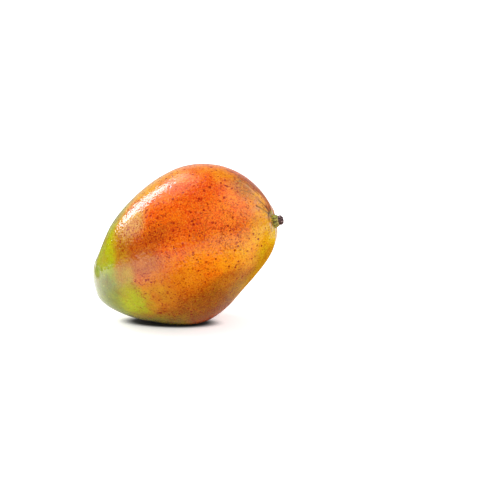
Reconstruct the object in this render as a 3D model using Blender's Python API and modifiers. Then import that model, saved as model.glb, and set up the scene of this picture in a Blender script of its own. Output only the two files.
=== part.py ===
# A whole mango lying on its back edge, with the short stub of its stem.
# Metres, +Z up. The fruit lies along X with the stem end at +X and raised, its two
# cheeks face -Y and +Y, and the nose with its small beak is at -X. The origin is on the
# resting plane, under the middle of the whole.

import math

import bmesh
import bpy
from mathutils import Matrix, Vector

# Driving dimensions of the fruit
LENGTH = 0.130
DEPTH = 0.0853
THICKNESS = 0.0850
TILT = math.radians(22.6)

# Departures from a plain oval: the stem half is the fuller one, the middle stands toward
# the belly edge, and the shoulder bulges there as much as the nose droops away from it
SHOULDER_FULLNESS = 0.120
BARREL_FULLNESS = 0.046
MIDDLE_RISE = 0.0025
NOSE_DROOP = 0.0077

# The back edge swells over its whole breadth: place along the axis from nose -1 to
# stem 1, height, spread, and how fast it fades toward the belly
BACK_PLACE = 0.00
BACK_HEIGHT = 0.0100
BACK_SPREAD = 0.325
BACK_FADE = 1.5

# Dent above the beak and the beak itself, on the belly edge: place along the axis,
# height, spread on the unit sphere, and how much broader it is from cheek to cheek
SINUS = (-0.922, -0.0079, 0.384, 1.5)
BEAK = (-0.941, 0.0028, 0.155, 1.2)

# Stem end: where the stem stands, and the shallow basin round it with its low lobes
STEM_DROP = math.radians(8.0)
BASIN_DEPTH = 0.0011
BASIN_SPREAD = 0.17
LOBE_HEIGHT = 0.0004
LOBE_COUNT = 5
LOBE_RADIUS = 0.24
LOBE_SPREAD = 0.12
LOBE_PHASE = 0.6

# Broad, faint unevenness of the cheeks: height, how far from the stem it is at its full,
# and the waves along the fruit and round it, for each of the two crossing sets
CHEEK_WAVE = 0.0004
WAVE_REACH = 0.5
FIRST_WAVES = (4.0, 2.0)
SECOND_WAVES = (-2.0, 3.0)

# Flat spot that the fruit rests on: how much of the lowest bulge is taken off
REST_CUT = 0.0008

# Stem stub: a turned outline (distance out from the skin, radius), its lean and its lobes
# (count, share of the height, turn)
STEM_OUTLINE = (
    (-0.0017, 0.0036),
    (-0.0004, 0.0041),
    (0.0005, 0.0043),
    (0.0013, 0.0040),
    (0.0021, 0.0036),
    (0.0026, 0.0033),
    (0.0029, 0.0028),
    (0.0033, 0.0029),
    (0.0039, 0.0030),
    (0.0047, 0.0028),
    (0.0052, 0.0021),
    (0.0054, 0.0010),
)
STEM_STEPS = 28
STEM_LEAN = math.radians(16)
STEM_LEAN_UP = 0.35
STEM_LOBE = 0.05
STEM_LOBES = ((3, 1.0, 0.4), (5, 0.6, 0.0))
SOCKET_DEPTH = 0.0020
GAP = 0.0003

# Meshing: the fruit's grid, how much it crowds toward stem and nose, the socket's sides,
# the step over which the skin's slope is taken, and the cutting block's thickness
SEGMENTS = 72
RINGS = 50
RING_CROWDING = 0.35
SOCKET_SIDES = 36
SLOPE_STEP = 0.01
MERGE_DISTANCE = 0.00001
REST_BLOCK = 0.02
SHARP_ANGLE = math.radians(40)

# Plain finishes: colour and roughness
SKIN_FINISH = ((0.80, 0.27, 0.05), 0.30)
STEM_FINISH = ((0.24, 0.20, 0.06), 0.65)


def new_material(name, finish):
    colour, roughness = finish
    material = bpy.data.materials.new(name)
    material.use_nodes = True
    shader = material.node_tree.nodes["Principled BSDF"]
    shader.inputs["Base Color"].default_value = (*colour, 1.0)
    shader.inputs["Roughness"].default_value = roughness
    return material


def bell(distance, spread):
    return math.exp(-(distance / spread) ** 2 / 2.0)


def fruit_point(direction):
    """Point of the skin for a direction on the unit sphere, long axis along X."""
    along = direction.x
    full = 1.0 + SHOULDER_FULLNESS * along + BARREL_FULLNESS * along * along
    shift = MIDDLE_RISE * (1.0 - along ** 2) + NOSE_DROOP * (along - along ** 3)
    point = Vector((
        along * LENGTH / 2,
        direction.y * THICKNESS / 2,
        direction.z * DEPTH / 2 * full + shift,
    ))
    toward_back = (1.0 - direction.z) / 2.0
    point.z -= BACK_HEIGHT * bell(along - BACK_PLACE, BACK_SPREAD) * toward_back ** BACK_FADE
    for place, height, spread, breadth in (SINUS, BEAK):
        centre = Vector((place, 0.0, math.sqrt(1.0 - place * place)))
        outward = Vector((centre.x / LENGTH, 0.0, centre.z / DEPTH)).normalized()
        apart = direction - centre
        apart.y /= breadth
        point += outward * height * bell(apart.length, spread)
    return point


def stem_place():
    """Middle of the stem's foot on the plain skin, and the way the stem points."""
    direction = Vector((math.cos(STEM_DROP), 0.0, -math.sin(STEM_DROP)))
    higher, lower = STEM_DROP - SLOPE_STEP, STEM_DROP + SLOPE_STEP
    above = Vector((math.cos(higher), 0.0, -math.sin(higher)))
    below = Vector((math.cos(lower), 0.0, -math.sin(lower)))
    along_skin = fruit_point(above) - fruit_point(below)
    outward = Vector((along_skin.z, 0.0, -along_skin.x)).normalized()
    return direction, fruit_point(direction), outward


def skin_relief(direction, stem_direction):
    """Height of the stem basin, its lobes and the faint waves of the cheeks."""
    from_stem = direction - stem_direction
    reach = from_stem.length
    turn = math.atan2(direction.y, from_stem.z)
    basin = -BASIN_DEPTH * math.exp(-(reach / BASIN_SPREAD) ** 2)
    ring = math.exp(-((reach - LOBE_RADIUS) / LOBE_SPREAD) ** 2)
    lobes = LOBE_HEIGHT * ring * math.cos(LOBE_COUNT * turn + LOBE_PHASE)
    away = min(1.0, reach / WAVE_REACH)
    first = math.sin(FIRST_WAVES[0] * direction.x + FIRST_WAVES[1] * turn)
    second = math.cos(SECOND_WAVES[0] * direction.x + SECOND_WAVES[1] * turn)
    waves = first * second
    return basin + lobes + CHEEK_WAVE * away * waves


def object_in(collection, name, mesh):
    new_object = bpy.data.objects.new(name, mesh)
    collection.objects.link(new_object)
    return new_object


def make_fruit(collection, tilt):
    """Sphere with its poles at stem and nose, drawn out into the fruit."""
    shape = bmesh.new()
    bmesh.ops.create_uvsphere(shape, u_segments=SEGMENTS, v_segments=RINGS, radius=1.0)
    stem_direction, _, _ = stem_place()
    to_stem = Vector((0.0, 0.0, 1.0)).rotation_difference(stem_direction)
    for vertex in shape.verts:
        polar = math.acos(max(-1.0, min(1.0, vertex.co.z)))
        crowded = polar - RING_CROWDING * math.sin(2.0 * polar) / 2.0
        turn = math.atan2(vertex.co.y, vertex.co.x)
        direction = to_stem @ Vector((
            math.sin(crowded) * math.cos(turn),
            math.sin(crowded) * math.sin(turn),
            math.cos(crowded),
        ))
        point = fruit_point(direction)
        outward = Vector((
            direction.x / LENGTH,
            direction.y / THICKNESS,
            direction.z / DEPTH,
        )).normalized()
        vertex.co = point + outward * skin_relief(direction, stem_direction)
    bmesh.ops.transform(shape, matrix=tilt, verts=shape.verts)
    mesh = bpy.data.meshes.new("fruit")
    shape.to_mesh(mesh)
    shape.free()
    return object_in(collection, "fruit", mesh)


def make_stem(collection, tilt):
    """Outline turned round the stem's line, then leaned and given uneven sides."""
    outline = bpy.data.meshes.new("stem_outline")
    points = [(0.0, 0.0, STEM_OUTLINE[-1][0])]
    points += [(radius, 0.0, height) for height, radius in reversed(STEM_OUTLINE)]
    points.append((0.0, 0.0, STEM_OUTLINE[0][0]))
    outline.from_pydata(points, [(i, i + 1) for i in range(len(points) - 1)], [])
    turned = object_in(collection, "stem_outline", outline)
    screw = turned.modifiers.new("Turn", "SCREW")
    screw.steps = STEM_STEPS
    screw.render_steps = STEM_STEPS
    screw.use_merge_vertices = True
    screw.merge_threshold = MERGE_DISTANCE
    graph = bpy.context.evaluated_depsgraph_get()
    mesh = bpy.data.meshes.new_from_object(turned.evaluated_get(graph))
    bpy.data.objects.remove(turned)

    top = STEM_OUTLINE[-1][0]
    for vertex in mesh.vertices:
        turn = math.atan2(vertex.co.y, vertex.co.x)
        out = max(0.0, vertex.co.z) / top
        lobes = sum(share * math.cos(count * turn + phase) for count, share, phase in STEM_LOBES)
        uneven = 1.0 + out * STEM_LOBE * lobes
        lean = STEM_LEAN * out * out
        side = vertex.co.x * uneven
        vertex.co = Vector((
            side * math.cos(lean) + top * math.sin(lean) * out / 2,
            vertex.co.y * uneven,
            vertex.co.z - side * math.sin(lean),
        ))
    _, foot, outward = stem_place()
    foot = foot - outward * BASIN_DEPTH
    front = Vector((0.0, -1.0, 0.0))
    up = front.cross(outward)
    lean_to = (front + up * STEM_LEAN_UP).normalized()
    side = outward.cross(lean_to)
    frame = Matrix((lean_to, side, outward)).transposed().to_4x4()
    frame.translation = foot
    mesh.transform(tilt @ frame)
    mesh.name = "stem"
    return object_in(collection, "stem", mesh), tilt @ frame


def cut(target, cutter):
    cutter.hide_render = True
    cutter.display_type = "WIRE"
    boolean = target.modifiers.new(cutter.name, "BOOLEAN")
    boolean.operation = "DIFFERENCE"
    boolean.solver = "EXACT"
    boolean.object = cutter


def socket_cutter(collection, frame):
    """Round hole that the stem's foot stands in, clear of it all round."""
    widest = max(radius for _, radius in STEM_OUTLINE)
    shape = bmesh.new()
    bmesh.ops.create_cone(
        shape, cap_ends=True, segments=SOCKET_SIDES,
        radius1=widest + GAP, radius2=widest + GAP, depth=4 * SOCKET_DEPTH)
    bmesh.ops.translate(shape, vec=(0.0, 0.0, SOCKET_DEPTH), verts=shape.verts)
    bmesh.ops.transform(shape, matrix=frame, verts=shape.verts)
    mesh = bpy.data.meshes.new("socket_cutter")
    shape.to_mesh(mesh)
    shape.free()
    return object_in(collection, "socket_cutter", mesh)


def rest_cutter(collection):
    """Block under the resting plane, which leaves the fruit its flat spot."""
    shape = bmesh.new()
    bmesh.ops.create_cube(shape, size=1.0)
    bmesh.ops.scale(shape, vec=(LENGTH, LENGTH, REST_BLOCK), verts=shape.verts)
    bmesh.ops.translate(shape, vec=(0.0, 0.0, -REST_BLOCK / 2), verts=shape.verts)
    mesh = bpy.data.meshes.new("rest_cutter")
    shape.to_mesh(mesh)
    shape.free()
    return object_in(collection, "rest_cutter", mesh)


for old in list(bpy.data.objects):
    bpy.data.objects.remove(old)

parts = bpy.data.collections.new("mango")
cutters = bpy.data.collections.new("cutters")
bpy.context.scene.collection.children.link(parts)
bpy.context.scene.collection.children.link(cutters)

tilted = Matrix.Rotation(-TILT, 4, "Y")
fruit = make_fruit(parts, tilted)
stem, stem_frame = make_stem(parts, tilted)

# Both pieces move together until the flat spot lies on z = 0 and the whole is centred
xs = [v.co.x for piece in (fruit, stem) for v in piece.data.vertices]
ys = [v.co.y for piece in (fruit, stem) for v in piece.data.vertices]
lowest = min(v.co.z for v in fruit.data.vertices)
centring = Matrix.Translation((
    -(min(xs) + max(xs)) / 2,
    -(min(ys) + max(ys)) / 2,
    -lowest - REST_CUT,
))
fruit.data.transform(centring)
stem.data.transform(centring)

cut(fruit, socket_cutter(cutters, centring @ stem_frame))
cut(fruit, rest_cutter(cutters))

fruit.data.materials.append(new_material("mango_skin", SKIN_FINISH))
stem.data.materials.append(new_material("mango_stem", STEM_FINISH))
for piece in (fruit, stem):
    piece.data.shade_smooth()
    piece.data.set_sharp_from_angle(angle=SHARP_ANGLE)
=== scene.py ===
import math

import bmesh
import bpy
import numpy as np
from mathutils import Matrix, Vector, noise


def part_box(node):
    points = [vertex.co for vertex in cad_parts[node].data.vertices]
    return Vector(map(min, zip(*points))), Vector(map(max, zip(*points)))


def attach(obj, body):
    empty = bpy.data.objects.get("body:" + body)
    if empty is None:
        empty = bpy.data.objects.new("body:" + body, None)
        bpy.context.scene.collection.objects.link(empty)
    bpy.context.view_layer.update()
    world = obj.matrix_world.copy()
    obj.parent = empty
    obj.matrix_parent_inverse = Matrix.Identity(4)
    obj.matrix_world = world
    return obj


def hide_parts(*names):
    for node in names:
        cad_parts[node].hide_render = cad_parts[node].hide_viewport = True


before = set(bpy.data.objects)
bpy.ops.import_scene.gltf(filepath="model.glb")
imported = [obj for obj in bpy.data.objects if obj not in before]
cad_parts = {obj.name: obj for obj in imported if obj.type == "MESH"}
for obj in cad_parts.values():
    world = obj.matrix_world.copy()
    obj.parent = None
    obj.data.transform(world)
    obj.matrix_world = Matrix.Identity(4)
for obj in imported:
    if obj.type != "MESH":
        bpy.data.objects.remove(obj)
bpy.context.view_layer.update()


# Skin
# The fruit grew in one piece: a waxy, finely pebbled skin tight over firm flesh. One
# cheek ripened red in the sun, the belly edge and the nose with its small beak stayed
# green, and creases run out from the basin where the stalk was attached.

# Form, in metres and radians, from the same values as the solid
LENGTH = 0.130
DEPTH = 0.0853
THICKNESS = 0.0850
TILT = math.radians(22.6)
SHOULDER_FULLNESS = 0.120
BARREL_FULLNESS = 0.046
MIDDLE_RISE = 0.0025
NOSE_DROOP = 0.0077
BACK_PLACE = 0.00
BACK_HEIGHT = 0.0100
BACK_SPREAD = 0.325
BACK_FADE = 1.5
# Dent above the beak, and the beak: place on the axis, height, spread, extra breadth
SINUS = (-0.922, -0.0079, 0.384, 1.5)
BEAK = (-0.941, 0.0028, 0.155, 1.2)
# Basin round the stalk with its low lobes, and the crossing waves of the cheeks
STEM_DROP = math.radians(8.0)
BASIN_DEPTH = 0.0011
BASIN_SPREAD = 0.17
LOBE_HEIGHT = 0.0004
LOBE_COUNT = 5
LOBE_RADIUS = 0.24
LOBE_SPREAD = 0.12
LOBE_PHASE = 0.6
CHEEK_WAVE = 0.0004
WAVE_REACH = 0.5
FIRST_WAVES = (4.0, 2.0)
SECOND_WAVES = (-2.0, 3.0)

# Fine relief that only the skin has: size of the forms, then their height
LUMP_SIZE = 0.012
LUMP_HEIGHT = 0.00022
PEBBLE_SIZE = 0.0019
PEBBLE_HEIGHT = 0.00005
GRID_LEVELS = 7
# Creases from the stem basin and in the notch under the beak, in metres along the fruit's
# own axes: start, end, half width, depth
STEM_CREASES = (
    ((0.0603, -0.0145, 0.0082), (0.0641, -0.0063, -0.0010), 0.00045, 0.00030),
    ((0.0596, -0.0105, 0.0160), (0.0643, -0.0050, 0.0010), 0.00035, 0.00016),
    ((0.0617, -0.0098, 0.0106), (0.0643, -0.0048, 0.0005), 0.00040, 0.00022),
    ((0.0612, -0.0040, 0.0160), (0.0645, -0.0030, 0.0010), 0.00050, 0.00025),
    ((0.0560, -0.0040, -0.0250), (0.0640, -0.0030, -0.0110), 0.00050, 0.00020),
    ((0.0600, 0.0130, 0.0060), (0.0640, 0.0020, -0.0020), 0.00045, 0.00025),
    ((0.0580, 0.0160, -0.0100), (0.0640, 0.0020, -0.0070), 0.00045, 0.00022),
)
BEAK_CREASES = (
    ((-0.0528, -0.0130, 0.0090), (-0.0503, -0.0200, 0.0064), 0.00100, 0.00012),
    ((-0.0503, -0.0200, 0.0064), (-0.0474, -0.0245, 0.0034), 0.00090, 0.00009),
)
# Small knobs on the beak: place, half width, height
BEAK_KNOBS = (
    ((-0.0512, -0.0165, 0.0108), 0.0024, 0.00045),
    ((-0.0455, -0.0250, 0.0072), 0.0011, 0.00030),
)


def bell(distance, spread):
    return np.exp(-(distance / spread) ** 2 / 2.0)


def fruit_points(direction):
    """Points of the plain skin for unit directions, long axis along X."""
    along, across, up = direction.T
    full = 1.0 + SHOULDER_FULLNESS * along + BARREL_FULLNESS * along ** 2
    shift = MIDDLE_RISE * (1.0 - along ** 2) + NOSE_DROOP * (along - along ** 3)
    toward_back = (1.0 - up) / 2.0
    back = BACK_HEIGHT * bell(along - BACK_PLACE, BACK_SPREAD) * toward_back ** BACK_FADE
    points = np.stack([
        along * LENGTH / 2,
        across * THICKNESS / 2,
        up * DEPTH / 2 * full + shift - back,
    ], axis=1)
    for place, height, spread, breadth in (SINUS, BEAK):
        centre = np.array([place, 0.0, math.sqrt(1.0 - place * place)])
        outward = centre / (LENGTH, 1.0, DEPTH)
        outward /= np.linalg.norm(outward)
        apart = (direction - centre) / (1.0, breadth, 1.0)
        points += outward * (height * bell(np.linalg.norm(apart, axis=1), spread))[:, None]
    return points


def broad_relief(direction):
    """Height of the stem basin, its lobes and the faint waves of the cheeks."""
    stem = np.array([math.cos(STEM_DROP), 0.0, -math.sin(STEM_DROP)])
    from_stem = direction - stem
    reach = np.linalg.norm(from_stem, axis=1)
    turn = np.arctan2(direction[:, 1], from_stem[:, 2])
    basin = -BASIN_DEPTH * np.exp(-(reach / BASIN_SPREAD) ** 2)
    ring = np.exp(-((reach - LOBE_RADIUS) / LOBE_SPREAD) ** 2)
    lobes = LOBE_HEIGHT * ring * np.cos(LOBE_COUNT * turn + LOBE_PHASE)
    away = np.minimum(1.0, reach / WAVE_REACH)
    along = direction[:, 0]
    waves = np.sin(FIRST_WAVES[0] * along + FIRST_WAVES[1] * turn)
    waves *= np.cos(SECOND_WAVES[0] * along + SECOND_WAVES[1] * turn)
    return basin + lobes + CHEEK_WAVE * away * waves


def line_distance(points, start, end):
    """How far each point is from the straight line between two points."""
    start, end = np.array(start), np.array(end)
    along = end - start
    share = np.clip((points - start) @ along / (along @ along), 0.0, 1.0)
    return np.linalg.norm(points - start - share[:, None] * along, axis=1)


def noise_heights(points, size):
    """Smooth random heights, about -1 to 1, that change over this size."""
    scaled = points / size
    return np.array([noise.noise(Vector(point)) for point in scaled])


def even_cube_grid(levels):
    """A cube's surface cut into even squares, for a sphere without poles."""
    cage = bmesh.new()
    bmesh.ops.create_cube(cage, size=2.0)
    mesh = bpy.data.meshes.new("skin_cage")
    cage.to_mesh(mesh)
    cage.free()
    holder = bpy.data.objects.new("skin_cage", mesh)
    bpy.context.scene.collection.objects.link(holder)
    even = holder.modifiers.new("Even squares", "SUBSURF")
    even.subdivision_type = "SIMPLE"
    even.levels = levels
    even.render_levels = levels
    graph = bpy.context.evaluated_depsgraph_get()
    grid = bpy.data.meshes.new_from_object(holder.evaluated_get(graph))
    bpy.data.objects.remove(holder)
    return grid


skin_mesh = even_cube_grid(GRID_LEVELS)
skin_mesh.name = "skin"
grid_points = np.empty(len(skin_mesh.vertices) * 3, np.float32)
skin_mesh.vertices.foreach_get("co", grid_points)
directions = np.tan(grid_points.reshape(-1, 3).astype(float) * math.pi / 4)
directions /= np.linalg.norm(directions, axis=1)[:, None]

outward = directions / (LENGTH, THICKNESS, DEPTH)
outward /= np.linalg.norm(outward, axis=1)[:, None]
form = fruit_points(directions) + outward * broad_relief(directions)[:, None]
height = LUMP_HEIGHT * noise_heights(form, LUMP_SIZE)
height += PEBBLE_HEIGHT * noise_heights(form, PEBBLE_SIZE)
for start, end, width, depth in STEM_CREASES + BEAK_CREASES:
    height -= depth * bell(line_distance(form, start, end), width)
for place, width, rise in BEAK_KNOBS:
    height += rise * bell(np.linalg.norm(form - place, axis=1), width)

tilt = np.array(Matrix.Rotation(-TILT, 3, "Y"))
fruit_low, fruit_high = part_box("fruit")
tilted_form = form @ tilt.T
to_row = np.array([
    fruit_low.x - tilted_form[:, 0].min(),
    0.0,
    fruit_high.z - tilted_form[:, 2].max(),
])
skin_points = (form + outward * height[:, None]) @ tilt.T + to_row
# The skin lies flat where the fruit's weight presses it on the surface
skin_points[:, 2] = np.maximum(skin_points[:, 2], 0.0)
skin_mesh.vertices.foreach_set("co", skin_points.astype(np.float32).ravel())
skin_mesh.update()
skin_mesh.shade_smooth()
skin = bpy.data.objects.new("mango_skin", skin_mesh)
bpy.context.scene.collection.objects.link(skin)


def put(tree, kind, inputs, **settings):
    """Add a node; an input is either a socket to link or a value to hold."""
    made = tree.nodes.new("ShaderNode" + kind)
    for name, value in settings.items():
        setattr(made, name, value)
    for key, value in inputs.items():
        if isinstance(value, bpy.types.NodeSocket):
            tree.links.new(value, made.inputs[key])
        else:
            made.inputs[key].default_value = value
    return made


def maths(tree, operation, first, second=0.0):
    return put(tree, "Math", {0: first, 1: second}, operation=operation).outputs[0]


def vectors(tree, operation, first, second=(0.0, 0.0, 0.0)):
    made = put(tree, "VectorMath", {0: first, 1: second}, operation=operation)
    return made.outputs["Value" if operation in ("LENGTH", "DOT_PRODUCT") else "Vector"]


def fade(tree, value, start, end):
    """0 at start, 1 at end, smooth between; start may be the larger."""
    inputs = {"Value": value, "From Min": start, "From Max": end}
    return put(tree, "MapRange", inputs, interpolation_type="SMOOTHSTEP").outputs[0]


def product(tree, *factors):
    result = factors[0]
    for factor in factors[1:]:
        result = maths(tree, "MULTIPLY", result, factor)
    return result


def plus(tree, base, mask, gain):
    """The base with gain times the mask on top; a gain below 0 takes away."""
    return maths(tree, "ADD", base, product(tree, mask, gain))


def spare(tree, mask, share=1.0):
    """What a mask leaves over: 1 away from it, 1 - share inside it."""
    return maths(tree, "SUBTRACT", 1.0, product(tree, mask, share))


def tint(tree, factor, under, over, mode="MIX"):
    """Mix two colours, each a socket or plain red, green and blue."""
    inputs = {0: factor}
    for key, paint in ((6, under), (7, over)):
        inputs[key] = (*paint, 1.0) if isinstance(paint, tuple) else paint
    made = put(tree, "Mix", inputs, data_type="RGBA", blend_type=mode)
    return made.outputs[2]


def wash(tree, under, paint, *masks, mode="MIX"):
    """Lay paint over a colour where all the masks meet."""
    return tint(tree, product(tree, *masks), under, paint, mode)


def noise_at(tree, position, size, detail=2.0, roughness=0.5):
    inputs = {
        "Vector": position, "Scale": 1.0 / size, "Detail": detail, "Roughness": roughness,
    }
    return put(tree, "TexNoise", inputs).outputs


def effect(name, inputs, build):
    """Make a node group; build gets its tree and inputs, and returns its outputs by name."""
    tree = bpy.data.node_groups.new(name, "ShaderNodeTree")
    for label, start in inputs.items():
        kind = "NodeSocketVector" if isinstance(start, tuple) else "NodeSocketFloat"
        socket = tree.interface.new_socket(label, in_out="INPUT", socket_type=kind)
        socket.default_value = start
    results = build(tree, tree.nodes.new("NodeGroupInput").outputs)
    leave = tree.nodes.new("NodeGroupOutput")
    for label, result in results.items():
        kind = "NodeSocketVector" if result.type == "VECTOR" else "NodeSocketFloat"
        tree.interface.new_socket(label, in_out="OUTPUT", socket_type=kind)
        tree.links.new(result, leave.inputs[label])
    return tree


def use(tree, group, inputs):
    """Place a node group with its own values; returns its outputs."""
    return put(tree, "Group", inputs, node_tree=group).outputs


# Effects that skin, stem and floor share. The first gives a place along the fruit's own
# axes, the next makes borders ragged: size of each wandering, then how far it goes
RAGGEDNESS = ((0.016, 0.0100), (0.0045, 0.0040), (0.0013, 0.0022))
# Dots: smallest share of the full size, sharpness of the edge, weakest strength
DOT_SMALLEST = 0.55
DOT_CORE = 0.75
DOT_FAINTEST = 0.45
# Streaks round the stalk: how many times they change along a metre
RAY_CHANGES = 45.0


def build_fruit_place(tree, inputs):
    moved = vectors(tree, "SUBTRACT", inputs["Position"], tuple(to_row))
    turned = put(tree, "VectorRotate", {"Vector": moved, "Angle": TILT}, rotation_type="Y_AXIS")
    return {"Place": turned.outputs[0]}


def build_ragged(tree, inputs):
    place = inputs["Place"]
    for size, amount in RAGGEDNESS:
        cloud = noise_at(tree, place, size, 1.0)["Color"]
        wander = vectors(tree, "SUBTRACT", cloud, (0.5, 0.5, 0.5))
        place = vectors(tree, "ADD", place, vectors(tree, "MULTIPLY", wander, (amount,) * 3))
    return {"Place": place}


def build_soft_spot(tree, inputs):
    apart = vectors(tree, "SUBTRACT", inputs["Place"], inputs["Centre"])
    reach = vectors(tree, "LENGTH", vectors(tree, "DIVIDE", apart, inputs["Spread"]))
    outer = maths(tree, "ADD", 1.0, inputs["Edge"])
    inner = maths(tree, "SUBTRACT", 1.0, inputs["Edge"])
    return {"Mask": fade(tree, reach, outer, inner)}


def build_line_mark(tree, inputs):
    apart = vectors(tree, "SUBTRACT", inputs["Place"], inputs["Start"])
    along = vectors(tree, "SUBTRACT", inputs["End"], inputs["Start"])
    share = maths(
        tree, "DIVIDE",
        vectors(tree, "DOT_PRODUCT", apart, along),
        vectors(tree, "DOT_PRODUCT", along, along),
    )
    share = put(tree, "Clamp", {"Value": share}).outputs[0]
    nearest = put(tree, "VectorMath", {0: along, "Scale": share}, operation="SCALE").outputs[0]
    distance = vectors(tree, "LENGTH", vectors(tree, "SUBTRACT", apart, nearest))
    return {"Mask": fade(tree, distance, inputs["Width"], 0.0)}


def build_dots(tree, inputs):
    per_metre = maths(tree, "DIVIDE", 1.0, inputs["Spacing"])
    cells = put(tree, "TexVoronoi", {"Vector": inputs["Place"], "Scale": per_metre}).outputs
    distance = maths(tree, "MULTIPLY", cells["Distance"], inputs["Spacing"])
    chance = put(tree, "SeparateColor", {0: cells["Color"]}).outputs
    size = product(tree, inputs["Size"], maths(tree, "ADD", DOT_SMALLEST, chance["Green"]))
    shape = fade(tree, distance, size, product(tree, size, DOT_CORE))
    kept = maths(tree, "LESS_THAN", chance["Red"], inputs["Share"])
    strength = plus(tree, DOT_FAINTEST, chance["Blue"], 1.0 - DOT_FAINTEST)
    mask = product(tree, shape, kept, strength)
    dome = product(tree, fade(tree, distance, size, 0.0), kept, size)
    return {"Mask": mask, "Dome": dome}


def build_streaks(tree, inputs):
    apart = vectors(tree, "SUBTRACT", inputs["Place"], inputs["Centre"])
    along = vectors(tree, "DOT_PRODUCT", apart, inputs["Axis"])
    sunk = put(tree, "VectorMath", {0: inputs["Axis"], "Scale": along}, operation="SCALE")
    flat = vectors(tree, "NORMALIZE", vectors(tree, "SUBTRACT", apart, sunk.outputs[0]))
    reach = vectors(tree, "LENGTH", apart)
    fan = {
        "Vector": flat, "W": product(tree, reach, RAY_CHANGES),
        "Scale": inputs["Count"], "Detail": 3.0, "Roughness": 0.6,
    }
    rays = put(tree, "TexNoise", fan, noise_dimensions="4D").outputs[0]
    return {"Rays": rays, "Reach": reach}


NOWHERE = (0.0, 0.0, 0.0)
FRUIT_PLACE = effect("fruit_place", {"Position": NOWHERE}, build_fruit_place)
RAGGED = effect("ragged_border", {"Place": NOWHERE}, build_ragged)
SOFT_SPOT = effect("soft_spot", {
    "Place": NOWHERE, "Centre": NOWHERE, "Spread": (0.01, 0.01, 0.01), "Edge": 0.5,
}, build_soft_spot)
LINE_MARK = effect("line_mark", {
    "Place": NOWHERE, "Start": NOWHERE, "End": (0.0, 0.0, 0.01), "Width": 0.001,
}, build_line_mark)
DOTS = effect("scattered_dots", {
    "Place": NOWHERE, "Spacing": 0.003, "Size": 0.0006, "Share": 0.7,
}, build_dots)
STREAKS = effect("stem_streaks", {
    "Place": NOWHERE, "Centre": NOWHERE, "Axis": (1.0, 0.0, 0.0), "Count": 6.0,
}, build_streaks)

# Colours of the ripening zones, broad ones first: centre and spread in millimetres along the
# fruit's own axes (stem, far cheek, belly), softness of the border, linear colour. Three of
# them also hold painted light, marked where they stand.
FLUSH = (0.790, 0.120, 0.003)
ZONES = (
    ((0, 46, -6), (78, 40, 62), 0.55, (0.560, 0.330, 0.014)),
    ((18, 40, 34), (34, 34, 22), 0.60, (0.740, 0.180, 0.010)),
    ((34, -2, 47), (36, 20, 12), 0.55, (0.800, 0.200, 0.020)),
    ((-6, -4, 46), (24, 20, 13), 0.50, (0.760, 0.400, 0.020)),
    ((20, -38, -13), (32, 30, 15), 0.55, (1.000, 0.290, 0.006)),
    ((50, -26, -15), (20, 22, 14), 0.60, (1.000, 0.470, 0.014)),
    ((62, -9, -17), (13, 17, 17), 0.50, (0.920, 0.640, 0.006)),
    ((62, -10, 5), (13, 14, 14), 0.60, (0.900, 0.420, 0.030)),
    ((44, -27, 10), (14, 14, 14), 0.70, (0.950, 0.215, 0.020)),
    ((36, -26, 30), (10, 9, 9), 0.60, (0.760, 0.085, 0.004)),
    ((-6, -40, -17), (24, 22, 15), 0.60, (0.700, 0.200, 0.008)),
    ((16, -24, -36), (36, 28, 14), 0.50, (0.390, 0.145, 0.007)),
    ((47, -5, -37), (24, 22, 13), 0.45, (0.580, 0.400, 0.006)),
    ((-62, -14, 2), (34, 46, 52), 0.22, (0.320, 0.420, 0.010)),
    ((-40, -16, 24), (18, 22, 21), 0.34, (0.400, 0.450, 0.006)),
    ((-27, -6, 36), (14, 11, 9), 0.60, (0.380, 0.420, 0.025)),
    ((-35, -3, 31), (13, 8, 9), 0.60, (0.240, 0.340, 0.015)),
    ((48, -9, 34), (9, 8, 7), 0.60, (0.800, 0.250, 0.012)),
    # Tan patch below the bright streak: partly the skin's tan, partly painted sheen
    ((-15, -26, 31), (12, 12, 9), 0.60, (0.660, 0.400, 0.060)),
    ((-21, -35, 15), (11, 12, 12), 0.60, (0.430, 0.250, 0.007)),
    ((-14, -40, 5), (13, 12, 10), 0.60, (0.510, 0.140, 0.024)),
    ((-5, -39, 17), (17, 14, 7), 0.75, (0.560, 0.105, 0.004)),
    ((-29, -37, -3), (8, 9, 11), 0.60, (0.450, 0.280, 0.030)),
    ((-14, -39, -18), (10, 10, 9), 0.60, (0.640, 0.290, 0.010)),
    ((-30, -33, -17), (10, 15, 12), 0.50, (0.460, 0.570, 0.004)),
    ((-47, -27, -12), (9, 12, 13), 0.55, (0.290, 0.360, 0.055)),
    ((-45, -28, -3), (11, 14, 10), 0.60, (0.235, 0.290, 0.060)),
    ((30, -28, -27), (8, 8, 7), 0.70, (0.560, 0.210, 0.010)),
    ((54, -13, -24), (8, 8, 8), 0.70, (0.640, 0.430, 0.008)),
    ((-26, -8, -37), (22, 30, 14), 0.45, (0.330, 0.310, 0.010)),
    ((55, -12, 23), (7, 8, 9), 0.60, (0.600, 0.165, 0.010)),
    ((-12, -30, 27), (7, 7, 7), 0.70, (0.620, 0.330, 0.050)),
    # Greyer green on the nose's lower rim: partly the skin's green, partly a painted reflection
    # of the white table
    ((-57, -17, -12), (9, 12, 15), 0.75, (0.250, 0.310, 0.100)),
    # Dark green in the notch under the beak: the skin's green, darkened as painted shade of the
    # dent
    ((-50.8, -17.5, 7.2), (3.4, 6, 3.0), 0.90, (0.200, 0.290, 0.008)),
)
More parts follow.
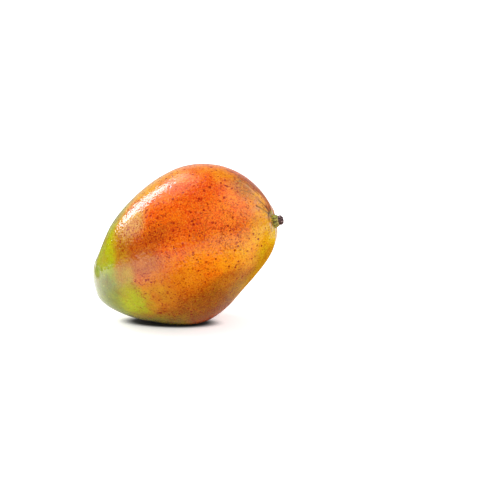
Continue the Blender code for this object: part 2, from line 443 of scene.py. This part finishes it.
# Dark freckles that stand out singly: place and size in millimetres
FRECKLES = (
    ((39.7, -23.1, 30.5), 1.00),
    ((17.1, -30.0, 32.9), 0.85),
    ((48.3, -14.7, 30.4), 0.80),
    ((48.8, -18.3, 26.7), 0.90),
    ((60.3, -14.5, 8.2), 0.80),
    ((43.0, -31.8, 5.5), 0.75),
    ((43.1, -29.4, -8.7), 0.75),
)


def millimetres(values):
    return tuple(value / 1000 for value in values)


skin_material = bpy.data.materials.new("mango_skin")
skin_material.use_nodes = True
tree = skin_material.node_tree
skin_shader = tree.nodes["Principled BSDF"]
position = put(tree, "TexCoord", {}).outputs["Object"]
place = use(tree, FRUIT_PLACE, {"Position": position})["Place"]
ragged = use(tree, RAGGED, {"Place": place})["Place"]


def spot_mask(where, centre, spread, edge):
    """1 inside an oval given in millimetres, 0 outside, with a border as soft as edge."""
    return use(tree, SOFT_SPOT, {
        "Place": where, "Centre": millimetres(centre), "Spread": millimetres(spread),
        "Edge": edge,
    })["Mask"]


def line_mask(where, start, end, width):
    """1 on a line given in millimetres, 0 from its width outwards."""
    return use(tree, LINE_MARK, {
        "Place": where, "Start": millimetres(start), "End": millimetres(end),
        "Width": width / 1000,
    })["Mask"]


def dots(where, spacing, size, share):
    """Dots of about this size; share of the cells that hold one."""
    return use(tree, DOTS, {
        "Place": where, "Spacing": spacing, "Size": size, "Share": share,
    })


colour = FLUSH
for centre, spread, edge, zone_colour in ZONES:
    colour = tint(tree, spot_mask(ragged, centre, spread, edge), colour, zone_colour)

green = spot_mask(ragged, (-60, 0, 4), (38, 60, 56), 0.40)
not_green = spare(tree, green)
nose_half = spot_mask(ragged, (-40, -20, 10), (60, 60, 60), 0.35)
lower_nose = spot_mask(ragged, (-34, -26, -8), (34, 34, 30), 0.45)

# Clouds of deeper flush and paler patches, then a fine stipple, calmer where it's green
CLOUD_SIZE = 0.0085
STIPPLE_SIZE = 0.00085
clouds = noise_at(tree, place, CLOUD_SIZE, 3.0)[0]
deeper = fade(tree, clouds, 0.46, 0.66)
paler = fade(tree, clouds, 0.50, 0.30)
colour = wash(tree, colour, (1.0, 0.66, 0.6), deeper, 0.55, mode="MULTIPLY")
colour = wash(tree, colour, (1.0, 0.95, 0.45), paler, 0.30, mode="SOFT_LIGHT")
stipple = noise_at(tree, place, STIPPLE_SIZE, 1.0)[0]
calm = spare(tree, maths(tree, "MAXIMUM", green, lower_nose), 0.55)
dark_grain = fade(tree, stipple, 0.50, 0.60)
pale_grain = fade(tree, stipple, 0.48, 0.35)
colour = wash(tree, colour, (0.72, 0.34, 0.26), dark_grain, 0.58, calm, mode="MULTIPLY")
colour = wash(tree, colour, (1.0, 0.55, 0.015), pale_grain, 0.16, calm)

# Streaks that fan out from the stalk, and rough russet skin on the shoulder above it
RUSSET_GRAIN = 0.0013
streaks = use(tree, STREAKS, {
    "Place": place, "Centre": millimetres((65, -3, -5)),
    "Axis": (math.cos(STEM_DROP), 0.0, -math.sin(STEM_DROP)), "Count": 5.0,
})
rays, reach = streaks["Rays"], streaks["Reach"]
shoulder = spot_mask(ragged, (62, -6, 11), (13, 15, 19), 0.50)
pale_rays = fade(tree, rays, 0.50, 0.62)
brown_rays = fade(tree, rays, 0.46, 0.36)
colour = wash(tree, colour, (0.640, 0.250, 0.110), pale_rays, shoulder, 0.75)
colour = wash(tree, colour, (0.420, 0.150, 0.030), brown_rays, shoulder, 0.65)
russet_zone = spot_mask(ragged, (56, -9, 23), (6, 8, 9), 0.60)
russet = noise_at(tree, ragged, RUSSET_GRAIN, 2.0, 0.6)[0]
brown_russet = fade(tree, russet, 0.46, 0.58)
gold_russet = fade(tree, russet, 0.44, 0.34)
colour = wash(tree, colour, (0.260, 0.130, 0.030), brown_russet, russet_zone, 0.80)
colour = wash(tree, colour, (0.760, 0.360, 0.030), gold_russet, russet_zone, 0.50)

# Red-brown band that runs up from the stem, point by point with the width of each stretch, then
# finer streaks on it: start, end, width, strength, colour. The pale pinkish streaks among them
# are painted highlight lines along the band.
BAND = (
    (50.3, -1.5, 34.0), (56.3, -2.0, 26.8), (61.3, -2.8, 17.4), (63.7, -3.5, 8.5),
    (64.4, -3.5, 1.0),
)
BAND_WIDTHS = (3.5, 5.5, 6.5, 6.5)
BAND_COLOUR = (0.450, 0.092, 0.018)
BAND_STREAKS_AND_HIGHLIGHTS = (
    ((57.5, -3.0, 25.0), (61.0, -3.5, 18.0), 2.0, 0.60, (0.320, 0.050, 0.010)),
    # Painted highlight line
    ((62.8, -5.2, 12.5), (64.3, -4.5, 5.0), 1.8, 0.50, (0.850, 0.380, 0.120)),
    ((61.4, -7.4, 15.0), (63.2, -6.8, 7.5), 2.0, 0.70, (0.950, 0.400, 0.030)),
    ((60.3, -6.6, 19.4), (62.4, -6.4, 13.5), 1.2, 0.80, (0.270, 0.050, 0.010)),
    ((63.9, -4.6, -0.5), (60.6, -10.6, 13.0), 1.0, 0.60, (0.460, 0.130, 0.050)),
    ((64.1, -4.2, 0.5), (61.3, -9.2, 13.5), 1.0, 0.60, (0.460, 0.120, 0.050)),
    # These two are painted highlight lines too
    ((57.5, -8.0, 21.5), (60.5, -8.5, 16.0), 1.4, 0.55, (0.800, 0.420, 0.180)),
    ((52.0, -9.5, 28.5), (56.5, -8.5, 23.0), 1.3, 0.40, (0.720, 0.360, 0.150)),
    ((55.0, -5.5, 27.0), (59.5, -6.0, 20.0), 1.0, 0.65, (0.240, 0.045, 0.012)),
)
band = 0.0
for start, end, width in zip(BAND[:-1], BAND[1:], BAND_WIDTHS):
    band = maths(tree, "MAXIMUM", band, line_mask(ragged, start, end, width))
colour = wash(tree, colour, BAND_COLOUR, fade(tree, band, 0.10, 0.55), 0.88)
for start, end, width, strength, streak_colour in BAND_STREAKS_AND_HIGHLIGHTS:
    colour = wash(tree, colour, streak_colour, line_mask(place, start, end, width), strength)
# Deeper red along the upper shoulder, towards the nose
deep_red = line_mask(ragged, (-17, -21.5, 33.5), (15, -18, 41.5), 8.0)
colour = wash(tree, colour, (0.640, 0.130, 0.020), deep_red, 0.80)

# Net of fine brown scars below the shoulder
SCARS_PER_METRE = 330.0
scar_zone = spot_mask(ragged, (54, -24, -1), (7, 7, 7), 0.50)
scar_net = {"Vector": ragged, "Scale": SCARS_PER_METRE}
scar_edges = put(tree, "TexVoronoi", scar_net, feature="DISTANCE_TO_EDGE").outputs[0]
scar_lines = product(tree, fade(tree, scar_edges, 0.10, 0.02), scar_zone)
colour = wash(tree, colour, (0.330, 0.085, 0.020), scar_lines, 0.55)

# Green ring where the skin meets the stalk, with painted shade between its rays round the
# stalk's foot; dark dried splits with painted shade in their gaps, and a pale mark that is a
# painted highlight: start, end, width, colour
FOOT_SPLITS_SHADE_AND_HIGHLIGHT = (
    ((63.7, -6.0, 0.6), (63.0, -10.0, -0.8), 1.5, (0.050, 0.028, 0.012)),
    ((63.0, -9.6, -1.2), (62.7, -11.2, -3.4), 1.2, (0.070, 0.036, 0.014)),
    # Pale mark below the stalk: a painted highlight
    ((62.5, -10.8, -5.6), (62.2, -10.4, -8.6), 1.4, (0.620, 0.560, 0.360)),
    ((62.2, -9.8, -8.8), (61.8, -8.4, -10.6), 1.2, (0.100, 0.060, 0.020)),
)
FOOT_STRENGTH = 0.85
green_ring = fade(tree, reach, 0.0068, 0.0050)
colour = wash(tree, colour, (0.520, 0.420, 0.050), green_ring, FOOT_STRENGTH)
# Painted shade between the rays, in the basin round the foot of the stalk
foot_shade_ring = fade(tree, reach, 0.0074, 0.0054)
foot_rays = fade(tree, rays, 0.47, 0.55)
colour = wash(tree, colour, (0.060, 0.040, 0.016), foot_shade_ring, foot_rays, FOOT_STRENGTH)
# Dark splits with painted shade in their gaps, and the pale painted highlight
for start, end, width, foot_mark_colour in FOOT_SPLITS_SHADE_AND_HIGHLIGHT:
    foot_mark = line_mask(place, start, end, width)
    colour = wash(tree, colour, foot_mark_colour, foot_mark, FOOT_STRENGTH)

# Breathing pores: large dark ones, small ones that crowd in clouds and towards the nose, dense
# ones in two patches, a cluster, and pale ones on green; small pale orange specks between,
# partly the skin's own specks and partly painted glints of the pebbled gloss
large_dots = product(
    tree, dots(place, 0.0025, 0.00060, 0.70)["Mask"], spare(tree, lower_nose, 0.75),
)
crowd = fade(tree, noise_at(tree, place, 0.017, 2.0)[0], 0.36, 0.56)
small_dots = product(
    tree, dots(ragged, 0.0016, 0.00050, 0.90)["Mask"],
    plus(tree, 0.60, nose_half, 0.40), plus(tree, 0.35, crowd, 0.75), not_green,
)
dense_zone = maths(
    tree, "MAXIMUM",
    spot_mask(ragged, (-8, -36, 20), (22, 16, 10), 0.50),
    spot_mask(ragged, (38, -32, 8), (16, 14, 12), 0.50),
)
dense_dots = product(tree, dots(ragged, 0.0013, 0.00052, 0.80)["Mask"], dense_zone)
cluster_zone = spot_mask(ragged, (43, -31, -1), (9, 9, 9), 0.60)
cluster = product(tree, dots(ragged, 0.0014, 0.00062, 0.75)["Mask"], cluster_zone)
pale_dots = product(tree, dots(place, 0.0027, 0.00055, 0.70)["Mask"], green)
# Pale specks: partly the skin's own, partly painted glints of the gloss
specks_and_glints = product(tree, dots(ragged, 0.0013, 0.00045, 0.80)["Mask"], not_green)
for dot_colour, mask, strength in (
    ((1.0, 0.400, 0.070), specks_and_glints, 0.32),
    ((0.290, 0.006, 0.001), small_dots, 1.00),
    ((0.270, 0.008, 0.001), dense_dots, 0.95),
    ((0.300, 0.014, 0.002), cluster, 0.95),
    ((0.300, 0.008, 0.001), large_dots, 1.00),
    ((0.640, 0.580, 0.110), pale_dots, 0.55),
):
    colour = wash(tree, colour, dot_colour, mask, strength)
for centre, size in FRECKLES:
    freckle = spot_mask(place, centre, (size,) * 3, 0.30)
    colour = wash(tree, colour, (0.280, 0.016, 0.004), freckle, 0.85)
# Painted shade in each crease of the stem basin: a dark brown line, broader than the crease
# itself
CREASE_SHADE_BREADTH = 2.2
for start, end, width, _ in STEM_CREASES:
    mark = {"Place": place, "Start": start, "End": end, "Width": width * CREASE_SHADE_BREADTH}
    colour = wash(tree, colour, (0.140, 0.070, 0.016), use(tree, LINE_MARK, mark)["Mask"], 0.85)

# Relief finer than the mesh, in millimetres: pebbles, grain, small domes, sunken pores and
# scars, raised streaks; smoother under the nose
relief = product(tree, noise_at(tree, place, 0.0014, 0.0)[0], 0.165)
for form, gain in (
    (noise_at(tree, place, 0.0005, 1.0)[0], 0.006),
    (dots(ragged, 0.0020, 0.00080, 0.60)["Dome"], 38.0),
    (large_dots, -0.012),
    (scar_lines, -0.06),
    (product(tree, rays, shoulder), 0.30),
):
    relief = plus(tree, relief, form, gain)
smooth_nose = spot_mask(place, (-46, -22, -8), (26, 34, 26), 0.45)
relief = product(tree, relief, fade(tree, smooth_nose, 1.9, 0.0))
bump = put(tree, "Bump", {"Height": relief, "Strength": 1.0, "Distance": 0.001})
# Waxy gloss, duller on russet and in the notch under the beak
notch = spot_mask(place, (-50.5, -19, 7.0), (4, 7, 3.5), 0.50)
roughness = plus(tree, 0.09, clouds, 0.06)
roughness = plus(tree, roughness, russet_zone, 0.15)
roughness = plus(tree, roughness, notch, 0.75)
skin_shader.inputs["IOR"].default_value = 1.5
skin_shader.inputs["Specular IOR Level"].default_value = 0.5
tree.links.new(colour, skin_shader.inputs["Base Color"])
tree.links.new(roughness, skin_shader.inputs["Roughness"])
tree.links.new(bump.outputs[0], skin_shader.inputs["Normal"])
skin_mesh.materials.append(skin_material)
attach(skin, "root")
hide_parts("fruit")


# Stem
# The stub of the fruit stalk, woody and dry: an olive green collar that flares into the
# skin, dark cracks round its foot, and a rough purple-brown end where it was cut.
STEM_OUTLINE = (
    (-0.0017, 0.0036), (-0.0004, 0.0041), (0.0005, 0.0043), (0.0013, 0.0040),
    (0.0021, 0.0036), (0.0026, 0.0033), (0.0029, 0.0028), (0.0033, 0.0029),
    (0.0039, 0.0030), (0.0047, 0.0028), (0.0052, 0.0021), (0.0054, 0.0010),
    (0.0053, 0.0000),
)
STEM_ROWS = 90
STEM_COLUMNS = 112
THINNEST = 0.00002
STEM_LEAN = math.radians(16.0)
STEM_LEAN_UP = 0.35
STEM_LOBE = 0.05
# Lobes of the outline: count, share of the height, turn
STEM_LOBES = ((3, 1.0, 0.4), (5, 0.6, 0.0))
SLOPE_STEP = 0.01
# Woody grain: size round the stub and along it, share of the radius, and a finer layer
GRAIN_ROUND = 3.0
GRAIN_LENGTH = 0.0022
GRAIN_SHARE = 0.035
FINER = 3.1
FINE_SHIFT = 7.0
FINE_SHARE = 0.8
# Cracks round the foot: how many, how much they wander, gain and cut of their waves, depth
CRACK_COUNT = 9
CRACK_WANDER = 2.5
CRACK_GAIN = 2.2
CRACK_CUT = 1.2
CRACK_DEPTH = 0.00028
FOOT_HEIGHT = 0.0008
FOOT_SPREAD = 0.0011
# Rough cut end: where it starts, how softly, its bumps, its middle and its radius
END_START = 0.0030
END_BLEND = 0.0006
END_ROUGHNESS = 0.00022
END_RISE = 1.2
END_MIDDLE = 0.0012
END_RADIUS = 0.0031


def smooth_curve(points, count):
    """Evenly spread points on a smooth curve through the given ones."""
    points = np.array(points)
    ends = np.concatenate(([2 * points[0] - points[1]], points, [2 * points[-1] - points[-2]]))
    steps = np.linspace(0, len(points) - 1.0001, count)
    first = steps.astype(int)
    part = (steps - first)[:, None]
    before, here, there, after = (ends[first + i] for i in range(4))
    return 0.5 * (
        2 * here + (there - before) * part
        + (2 * before - 5 * here + 4 * there - after) * part ** 2
        + (3 * here - before - 3 * there + after) * part ** 3
    )


profile = smooth_curve(STEM_OUTLINE, STEM_ROWS)
profile[:, 1] = np.maximum(profile[:, 1], THINNEST)
turns = np.linspace(0, 2 * math.pi, STEM_COLUMNS, endpoint=False)
rise, turn = np.meshgrid(profile[:, 0], turns, indexing="ij")
radius = np.repeat(profile[:, 1][:, None], STEM_COLUMNS, axis=1)
top = STEM_OUTLINE[-2][0]
seeds = np.stack([
    np.cos(turn) * GRAIN_ROUND, np.sin(turn) * GRAIN_ROUND, rise / GRAIN_LENGTH,
], axis=-1).reshape(-1, 3)
rough = noise_heights(seeds, 1.0).reshape(rise.shape)
fine = noise_heights(seeds * FINER + FINE_SHIFT, 1.0).reshape(rise.shape)
near_foot = bell(rise - FOOT_HEIGHT, FOOT_SPREAD)
crack = np.cos(CRACK_COUNT * turn + CRACK_WANDER * rough) * CRACK_GAIN - CRACK_CUT
crack = np.clip(crack, 0.0, 1.0)
knob = np.clip((rise - END_START) / END_BLEND, 0.0, 1.0)
rim = np.minimum(1.0, radius / END_MIDDLE)
radius = radius * (1.0 + GRAIN_SHARE * rough) - CRACK_DEPTH * crack * near_foot
radius += END_ROUGHNESS * knob * rim * (rough + FINE_SHARE * fine)
out = np.maximum(0.0, rise) / top
lobes = sum(share * np.cos(count * turn + phase) for count, share, phase in STEM_LOBES)
uneven = 1.0 + out * STEM_LOBE * lobes
lean = STEM_LEAN * out * out
across = radius * np.cos(turn) * uneven
inside = np.clip(1.0 - radius / END_RADIUS, 0.0, 1.0)
rise = rise + END_ROUGHNESS * END_RISE * knob * inside * (fine + rough)
stem_points = np.stack([
    across * np.cos(lean) + top * np.sin(lean) * out / 2,
    radius * np.sin(turn) * uneven,
    rise - across * np.sin(lean),
], axis=-1).reshape(-1, 3)

# Turned to stand on the basin's floor, square to the skin, leaning to the front
drops = np.array([STEM_DROP, STEM_DROP - SLOPE_STEP, STEM_DROP + SLOPE_STEP])
foot, above, below = fruit_points(np.stack([np.cos(drops), drops * 0, -np.sin(drops)], axis=1))
stem_out = Vector((above[2] - below[2], 0.0, below[0] - above[0])).normalized()
stem_front = Vector((0.0, -1.0, 0.0))
lean_to = (stem_front + stem_front.cross(stem_out) * STEM_LEAN_UP).normalized()
stem_axes = np.array((lean_to, stem_out.cross(lean_to), stem_out))
stem_foot = foot - np.array(stem_out) * BASIN_DEPTH
stem_points = (stem_points @ stem_axes + stem_foot) @ tilt.T + to_row

stem_faces = []
for row in range(STEM_ROWS - 1):
    for column in range(STEM_COLUMNS):
        after = (column + 1) % STEM_COLUMNS
        low, high = row * STEM_COLUMNS, (row + 1) * STEM_COLUMNS
        stem_faces.append((low + column, low + after, high + after, high + column))
last_row = (STEM_ROWS - 1) * STEM_COLUMNS
stem_faces.append(tuple(reversed(range(STEM_COLUMNS))))
stem_faces.append(tuple(range(last_row, last_row + STEM_COLUMNS)))
stem_mesh = bpy.data.meshes.new("stem")
stem_mesh.from_pydata(stem_points.tolist(), [], stem_faces)
stem_mesh.shade_smooth()
stem = bpy.data.objects.new("mango_stem", stem_mesh)
bpy.context.scene.collection.objects.link(stem)

stem_material = bpy.data.materials.new("mango_stem")
stem_material.use_nodes = True
tree = stem_material.node_tree
stem_shader = tree.nodes["Principled BSDF"]
position = put(tree, "TexCoord", {}).outputs["Object"]
place = use(tree, FRUIT_PLACE, {"Position": position})["Place"]
from_foot = vectors(tree, "SUBTRACT", place, tuple(stem_foot))
along_stem = vectors(tree, "DOT_PRODUCT", from_foot, tuple(stem_out))
grain = noise_at(tree, place, 0.0009, 3.0, 0.6)[0]
fine_grain = noise_at(tree, place, 0.00035, 2.0, 0.6)[0]
end_specks = noise_at(tree, place, 0.0011, 2.0, 0.6)[0]
ragged_height = plus(tree, along_stem, grain, 0.0010)

# Olive wood, dark cracks and pale flakes at its foot, a pale collar, then the dried end;
# heights are metres out from the skin
OLIVE, PALE_OLIVE = (0.200, 0.220, 0.024), (0.560, 0.500, 0.090)
DARK_END, DULL_END = (0.018, 0.007, 0.008), (0.120, 0.060, 0.060)
wood = tint(tree, fade(tree, grain, 0.38, 0.62), OLIVE, PALE_OLIVE)
foot_crack = use(tree, STREAKS, {
    "Place": place, "Centre": tuple(stem_foot), "Axis": tuple(stem_out), "Count": 2.6,
})["Rays"]
foot_zone = fade(tree, ragged_height, 0.0034, 0.0022)
dark_cracks = fade(tree, foot_crack, 0.48, 0.55)
pale_flakes = fade(tree, foot_crack, 0.42, 0.36)
wood = wash(tree, wood, (0.050, 0.030, 0.022), dark_cracks, foot_zone, 0.9)
wood = wash(tree, wood, (0.600, 0.540, 0.300), pale_flakes, foot_zone, 0.7)
above_collar = fade(tree, ragged_height, 0.0028, 0.0031)
below_end = fade(tree, ragged_height, 0.0036, 0.0033)
wood = wash(tree, wood, (0.560, 0.500, 0.240), above_collar, below_end, 0.8)
end = tint(tree, fade(tree, fine_grain, 0.42, 0.62), DARK_END, DULL_END)
end = tint(tree, fade(tree, end_specks, 0.54, 0.62), end, (0.620, 0.420, 0.420))
wood = tint(tree, fade(tree, ragged_height, 0.0033, 0.0037), wood, end)
stem_relief = plus(tree, grain, fine_grain, 0.5)
stem_bump = put(tree, "Bump", {"Height": stem_relief, "Strength": 1.0, "Distance": 0.00035})
tree.links.new(wood, stem_shader.inputs["Base Color"])
tree.links.new(plus(tree, 0.45, grain, 0.3), stem_shader.inputs["Roughness"])
tree.links.new(stem_bump.outputs[0], stem_shader.inputs["Normal"])
stem_shader.inputs["Specular IOR Level"].default_value = 0.35
stem_mesh.materials.append(stem_material)
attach(stem, "root")
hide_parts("stem")


# Table, light and camera
# A plain white table under soft studio light: a wide box overhead, a narrow one behind on
# the left that makes the bright streak, fill from the front, and glows round the room
# that only gloss shows.
TABLE_HALF = 6.0
TABLE_WHITE = (0.88, 0.88, 0.88)
LENS = 100.0
SENSOR = 36.0
CAMERA_PLACE = Vector((0.1885, -0.8408, 0.2455))
CAMERA_AZIMUTH = math.radians(10.0)
CAMERA_ELEVATION = math.radians(13.0)
CAMERA_ROLL = math.radians(-0.77)

floor_mesh = bpy.data.meshes.new("floor")
floor_shape = bmesh.new()
bmesh.ops.create_grid(floor_shape, x_segments=1, y_segments=1, size=TABLE_HALF)
floor_shape.to_mesh(floor_mesh)
floor_shape.free()
floor = bpy.data.objects.new("floor", floor_mesh)
bpy.context.scene.collection.objects.link(floor)
floor_material = bpy.data.materials.new("white_table")
floor_material.use_nodes = True
floor_shader = floor_material.node_tree.nodes["Principled BSDF"]
floor_shader.inputs["Roughness"].default_value = 0.9
floor_shader.inputs["Specular IOR Level"].default_value = 0.1
floor_mesh.materials.append(floor_material)

table = floor_material.node_tree
floor_place = put(table, "TexCoord", {}).outputs["Object"]
floor_rays = put(table, "LightPath", {}).outputs
to_eye, to_mirror = floor_rays["Is Camera Ray"], floor_rays["Is Glossy Ray"]
# Cards on the table that the eye doesn't see: the warm ones colour what the fruit mirrors and
# the light that bounces up to it, the dark ones only what it mirrors; the last dark one is a
# painted shadow round where the fruit touches. Centre and spread in metres, edge, strength
WARM_CARDS = (
    ((0.050, -0.125), (0.085, 0.115), 0.35, 1.0),
    ((0.170, 0.090), (0.180, 0.110), 0.25, 1.0),
)
DARK_CARDS_AND_SHADOW = (
    ((-0.55, 0.26), (0.38, 0.22), 0.08, 1.0),
    ((-0.75, 0.60), (0.62, 0.50), 0.08, 1.0),
    ((-1.45, 0.05), (0.87, 0.70), 0.05, 1.0),
    ((0.25, -1.60), (0.75, 1.20), 0.20, 0.55),
    # Painted shadow round where the fruit touches, seen only in what it mirrors
    ((-0.042, -0.045), (0.046, 0.045), 0.50, 0.75),
)
WARM, DARK, SHADE = (0.60, 0.28, 0.015), (0.06, 0.06, 0.06), (0.03, 0.03, 0.03)


def floor_patch(centre, spread, edge):
    """1 on an oval of the table, in metres, with a soft border."""
    return use(table, SOFT_SPOT, {
        "Place": floor_place, "Centre": (*centre, 0.0), "Spread": (*spread, 0.1),
        "Edge": edge,
    })["Mask"]


def cards(patches):
    """All the patches of one colour in a single mask: cards, and among the dark ones the
    painted shadow.
    """
    mask = 0.0
    for centre, spread, edge, strength in patches:
        patch = product(table, floor_patch(centre, spread, edge), strength)
        mask = maths(table, "MAXIMUM", mask, patch)
    return mask


floor_colour = wash(table, TABLE_WHITE, WARM, cards(WARM_CARDS), spare(table, to_eye))
floor_colour = wash(table, floor_colour, DARK, cards(DARK_CARDS_AND_SHADOW), to_mirror)
# Soft shade where the fruit touches the table
contact = floor_patch((-0.012, -0.002), (0.030, 0.0130), 0.24)
floor_colour = wash(table, floor_colour, SHADE, contact, 0.90)
table.links.new(floor_colour, floor_shader.inputs["Base Color"])
# The table is lifted to plain white for the eye, and one bright patch is mirrored
bright = floor_patch((-0.30, -0.12), (0.25, 0.30), 0.25)
lift = product(table, spare(table, contact), 0.50, to_eye)
lift = maths(table, "ADD", lift, product(table, bright, 0.55, to_mirror))
table.links.new(lift, floor_shader.inputs["Emission Color"])
floor_shader.inputs["Emission Strength"].default_value = 1.0


LIT_MIDDLE = Vector((0.0, 0.0, 0.05))


def soft_box(name, azimuth, elevation, distance, width, height, radiance):
    """Area light of a given brightness; azimuth 0 is the -Y side, growing towards +X."""
    light = bpy.data.lights.new(name, "AREA")
    light.shape = "RECTANGLE"
    light.size = width
    light.size_y = height
    light.energy = radiance * math.pi * width * height
    box = bpy.data.objects.new(name, light)
    bpy.context.scene.collection.objects.link(box)
    turn, rise = math.radians(azimuth), math.radians(elevation)
    way = Vector((
        math.sin(turn) * math.cos(rise),
        -math.cos(turn) * math.cos(rise),
        math.sin(rise),
    ))
    box.location = LIT_MIDDLE + way * distance
    box.rotation_euler = way.to_track_quat("Z", "Y").to_euler()
    return box


overhead = soft_box(
    "overhead_box", azimuth=-100, elevation=74, distance=1.1, width=0.95, height=0.95,
    radiance=1.5,
)
overhead.visible_glossy = False
streak = soft_box(
    "streak_box", azimuth=-116, elevation=35.2, distance=1.2, width=0.32, height=0.76,
    radiance=9.3,
)
streak.data.color = (1.0, 0.90, 0.98)
fill = soft_box(
    "front_fill", azimuth=25, elevation=32, distance=1.4, width=1.0, height=0.8,
    radiance=2.2,
)
fill.visible_glossy = False

# The room is white all round for the eye and for diffuse light; in reflections it is dark but
# for the narrow soft box and a few glows
ROOM_LIGHT = 0.76
ROOM_DARK = 0.01
# Glows: the way towards each, the cosines where it starts and is full, the heights where
# it starts, is full, is still full and ends, and its radiance
GLOWS = (
    ((-0.47, 0.17, 0.866), (0.88, 0.985), (-2.0, -1.5, 1.5, 2.0), 1.5),
    ((-0.524, 0.456, 0.719), (0.95, 0.995), (-2.0, -1.5, 1.5, 2.0), 2.0),
    ((-0.996, 0.087, 0.0), (0.70, 0.86), (0.27, 0.33, 0.48, 0.60), 1.8),
    ((0.776, 0.137, 0.616), (0.72, 0.92), (0.10, 0.40, 1.5, 2.0), 0.95),
    ((0.0, 1.0, 0.0), (0.60, 0.82), (-0.2, -0.1, 0.55, 0.72), 0.38),
    ((-0.26, 0.966, 0.0), (0.86, 0.96), (0.03, 0.18, 0.60, 0.75), 0.35),
)
world = bpy.data.worlds.new("studio")
bpy.context.scene.world = world
world.use_nodes = True
world_tree = world.node_tree
background = world_tree.nodes["Background"]
background.inputs["Color"].default_value = (1.0, 1.0, 1.0, 1.0)
world_rays = put(world_tree, "LightPath", {}).outputs
mirror_ray, eye_ray = world_rays["Is Glossy Ray"], world_rays["Is Camera Ray"]
toward = put(world_tree, "TexCoord", {}).outputs["Generated"]
sky_height = put(world_tree, "SeparateXYZ", {0: toward}).outputs["Z"]
mirrored = ROOM_DARK
for way, (start, full), (low, full_low, full_high, high), radiance in GLOWS:
    aside = vectors(world_tree, "DOT_PRODUCT", toward, way)
    glow = product(
        world_tree, fade(world_tree, aside, start, full),
        fade(world_tree, sky_height, low, full_low),
        fade(world_tree, sky_height, high, full_high),
    )
    mirrored = plus(world_tree, mirrored, glow, radiance)
lit = product(world_tree, spare(world_tree, mirror_ray), ROOM_LIGHT)
lit = plus(world_tree, lit, mirrored, mirror_ray)
lit = maths(world_tree, "MAXIMUM", lit, eye_ray)
world_tree.links.new(lit, background.inputs["Strength"])

camera_data = bpy.data.cameras.new("camera")
camera_data.lens = LENS
camera_data.sensor_width = SENSOR
camera = bpy.data.objects.new("camera", camera_data)
bpy.context.scene.collection.objects.link(camera)
ahead = Vector((
    -math.sin(CAMERA_AZIMUTH) * math.cos(CAMERA_ELEVATION),
    math.cos(CAMERA_AZIMUTH) * math.cos(CAMERA_ELEVATION),
    -math.sin(CAMERA_ELEVATION),
))
camera.location = CAMERA_PLACE
aim = ahead.to_track_quat("-Z", "Y")
camera.rotation_euler = (aim.to_matrix() @ Matrix.Rotation(CAMERA_ROLL, 3, "Z")).to_euler()
bpy.context.scene.camera = camera
bpy.context.scene.view_settings.view_transform = "Standard"
